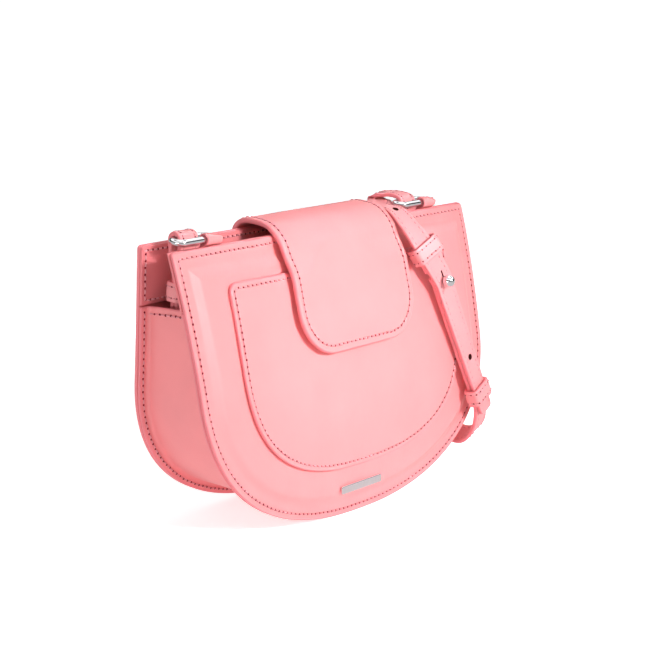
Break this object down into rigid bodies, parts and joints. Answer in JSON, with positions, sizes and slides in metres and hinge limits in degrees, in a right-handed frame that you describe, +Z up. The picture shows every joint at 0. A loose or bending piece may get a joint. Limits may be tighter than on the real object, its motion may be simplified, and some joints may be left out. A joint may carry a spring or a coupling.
{
  "type": "crossbody purse",
  "caption": "Small saddle-shaped leather crossbody purse with a front flap, front pocket, U gusset and an adjustable strap hung on two rings.",
  "frame": {"origin": "bottom centre of the part's bounding box", "axes": "+X to the right seen from the front, -Y out of the front with the flap, +Z up through the mouth"},
  "size_m": [0.2222, 0.0654, 0.1414],
  "materials": {
    "leather": "smooth, satin",
    "facing_leather": "smooth, satin",
    "lining": "woven",
    "board": "matt",
    "padding": "foam",
    "polished_metal": "polished"
  },
  "bodies": {
    "body": {"back_panel": "leather", "back_facing": "facing_leather", "back_board": "board", "back_lining": "lining", "front_panel": "leather", "front_padding": "padding", "front_facing": "facing_leather", "front_lining": "lining", "front_pocket": "leather", "name_bar": "polished_metal", "pocket_snap": "polished_metal", "gusset": "leather", "base_board": "board", "gusset_lining": "lining", "flap_root": "leather", "tab_left": "leather", "tab_right": "leather"},
    "flap": {"flap_lining": "facing_leather", "flap_outer": "leather", "flap_snap": "polished_metal"},
    "ring_left": {"ring_left": "polished_metal"},
    "ring_right": {"ring_right": "polished_metal"},
    "strap_left": {"strap_left": "leather", "keeper_left": "leather"},
    "strap_right": {"strap_tail": "leather", "strap_main": "leather", "strap_return": "leather", "strap_stud": "polished_metal", "keeper_upper": "leather"},
    "keeper_lower": {"keeper_lower": "leather"}
  },
  "joints": [
    {"name": "flap_hinge", "type": "hinge", "parent": "body", "child": "flap", "pos_m": [-0.00109, 0.03227, 0.1277], "axis": [-1, 0, 0], "range_deg": [0, 150]},
    {"name": "ring_left_hinge", "type": "hinge", "parent": "body", "child": "ring_left", "pos_m": [-0.09209, 0.01077, 0.137], "axis": [1, 0, 0], "range_deg": [0, 25]},
    {"name": "strap_left_hang", "type": "hinge", "parent": "ring_left", "child": "strap_left", "pos_m": [-0.09409, 0.01737, 0.137], "axis": [1, 0, 0], "range_deg": [-25, 0]},
    {"name": "ring_right_hinge", "type": "hinge", "parent": "body", "child": "ring_right", "pos_m": [0.07191, 0.01077, 0.137], "axis": [1, 0, 0], "range_deg": [0, 25]},
    {"name": "strap_right_hang", "type": "hinge", "parent": "ring_right", "child": "strap_right", "pos_m": [0.06931, 0.01737, 0.137], "axis": [1, 0, 0], "range_deg": [-25, 0]},
    {"name": "keeper_lower_slide", "type": "slide", "parent": "strap_right", "child": "keeper_lower", "axis": [-0.3651, 0.19, 0.9114], "range_m": [0, 0.012]}
  ],
  "couplings": [
    {"joint": "strap_left_hang", "follows": "ring_left_hinge", "ratio": -1},
    {"joint": "strap_right_hang", "follows": "ring_right_hinge", "ratio": -1}
  ]
}
